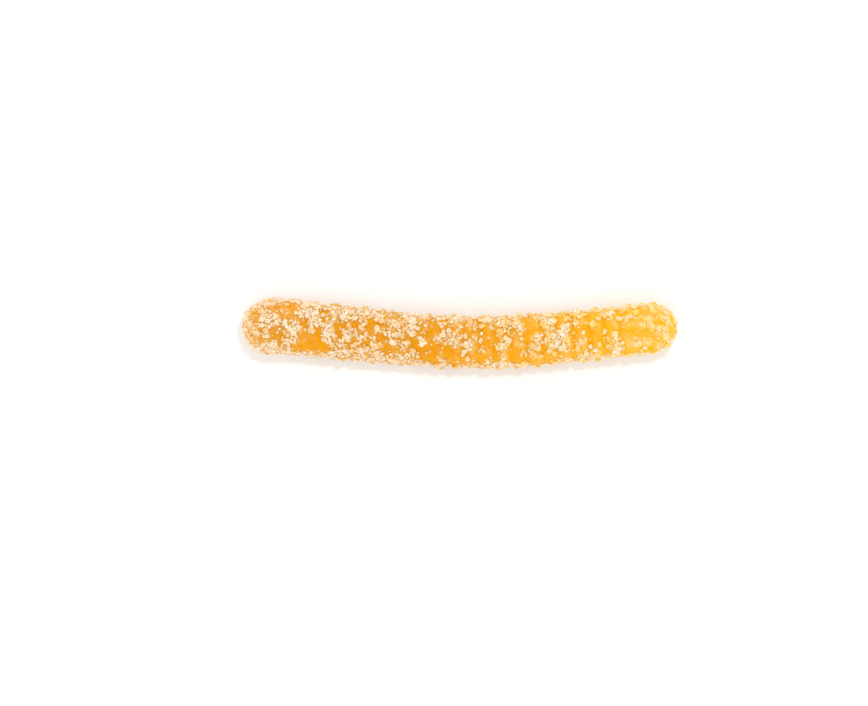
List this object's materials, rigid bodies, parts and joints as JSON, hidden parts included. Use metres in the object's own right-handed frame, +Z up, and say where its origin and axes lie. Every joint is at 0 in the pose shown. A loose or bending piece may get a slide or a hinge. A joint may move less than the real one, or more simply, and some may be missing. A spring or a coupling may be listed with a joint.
{
  "type": "gummy worm",
  "caption": "Long ribbed jelly sweet with blunt round ends, bent in a shallow bow, flat underneath and coated in sugar crystals.",
  "frame": {"origin": "centre of the worm's outline seen from above, at the level of its flat underside", "axes": "+X along the worm, +Y towards the inside of its bow, +Z up from the flat underside to the ribbed side"},
  "size_m": [0.078, 0.0134, 0.009],
  "materials": {
    "sugared_jelly": "soft translucent golden jelly, satin under a coat of clear and white sugar crystals"
  },
  "bodies": {
    "root": {"gummy_worm": "sugared_jelly"}
  },
  "joints": []
}
